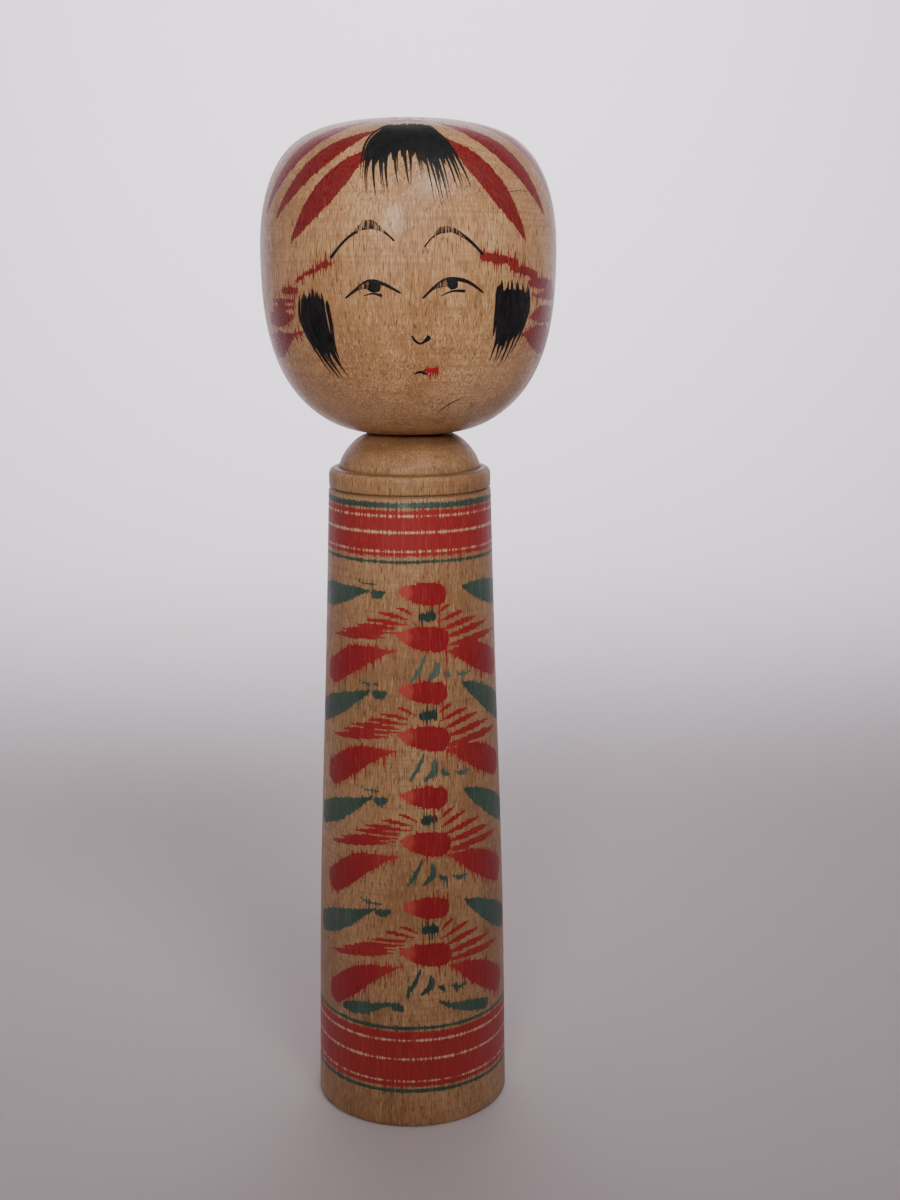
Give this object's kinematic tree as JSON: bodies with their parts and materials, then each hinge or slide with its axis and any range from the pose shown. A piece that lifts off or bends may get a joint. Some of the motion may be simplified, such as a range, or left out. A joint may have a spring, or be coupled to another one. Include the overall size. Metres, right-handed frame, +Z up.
{
  "type": "kokeshi doll",
  "caption": "Lathe-turned wooden doll with a painted cylindrical body, a stepped shoulder and a large round head that turns on its own tenon.",
  "frame": {"origin": "centre of the base, where the doll stands", "axes": "+Z up along the lathe axis, -Y out of the painted front, +X to the right seen from the front"},
  "size_m": [0.0694, 0.0694, 0.242],
  "materials": {
    "body_wood": "waxed, satin",
    "head_wood": "waxed, satin",
    "black_ink": "brushed ink under wax",
    "red_dye": "brushed dye under wax"
  },
  "bodies": {
    "body": {"body": "body_wood"},
    "head": {"head": "head_wood"}
  },
  "joints": [
    {"name": "head_turn", "type": "hinge", "parent": "body", "child": "head", "pos_m": [0, 0, 0.1662], "axis": [0, 0, 1], "continuous": true}
  ]
}
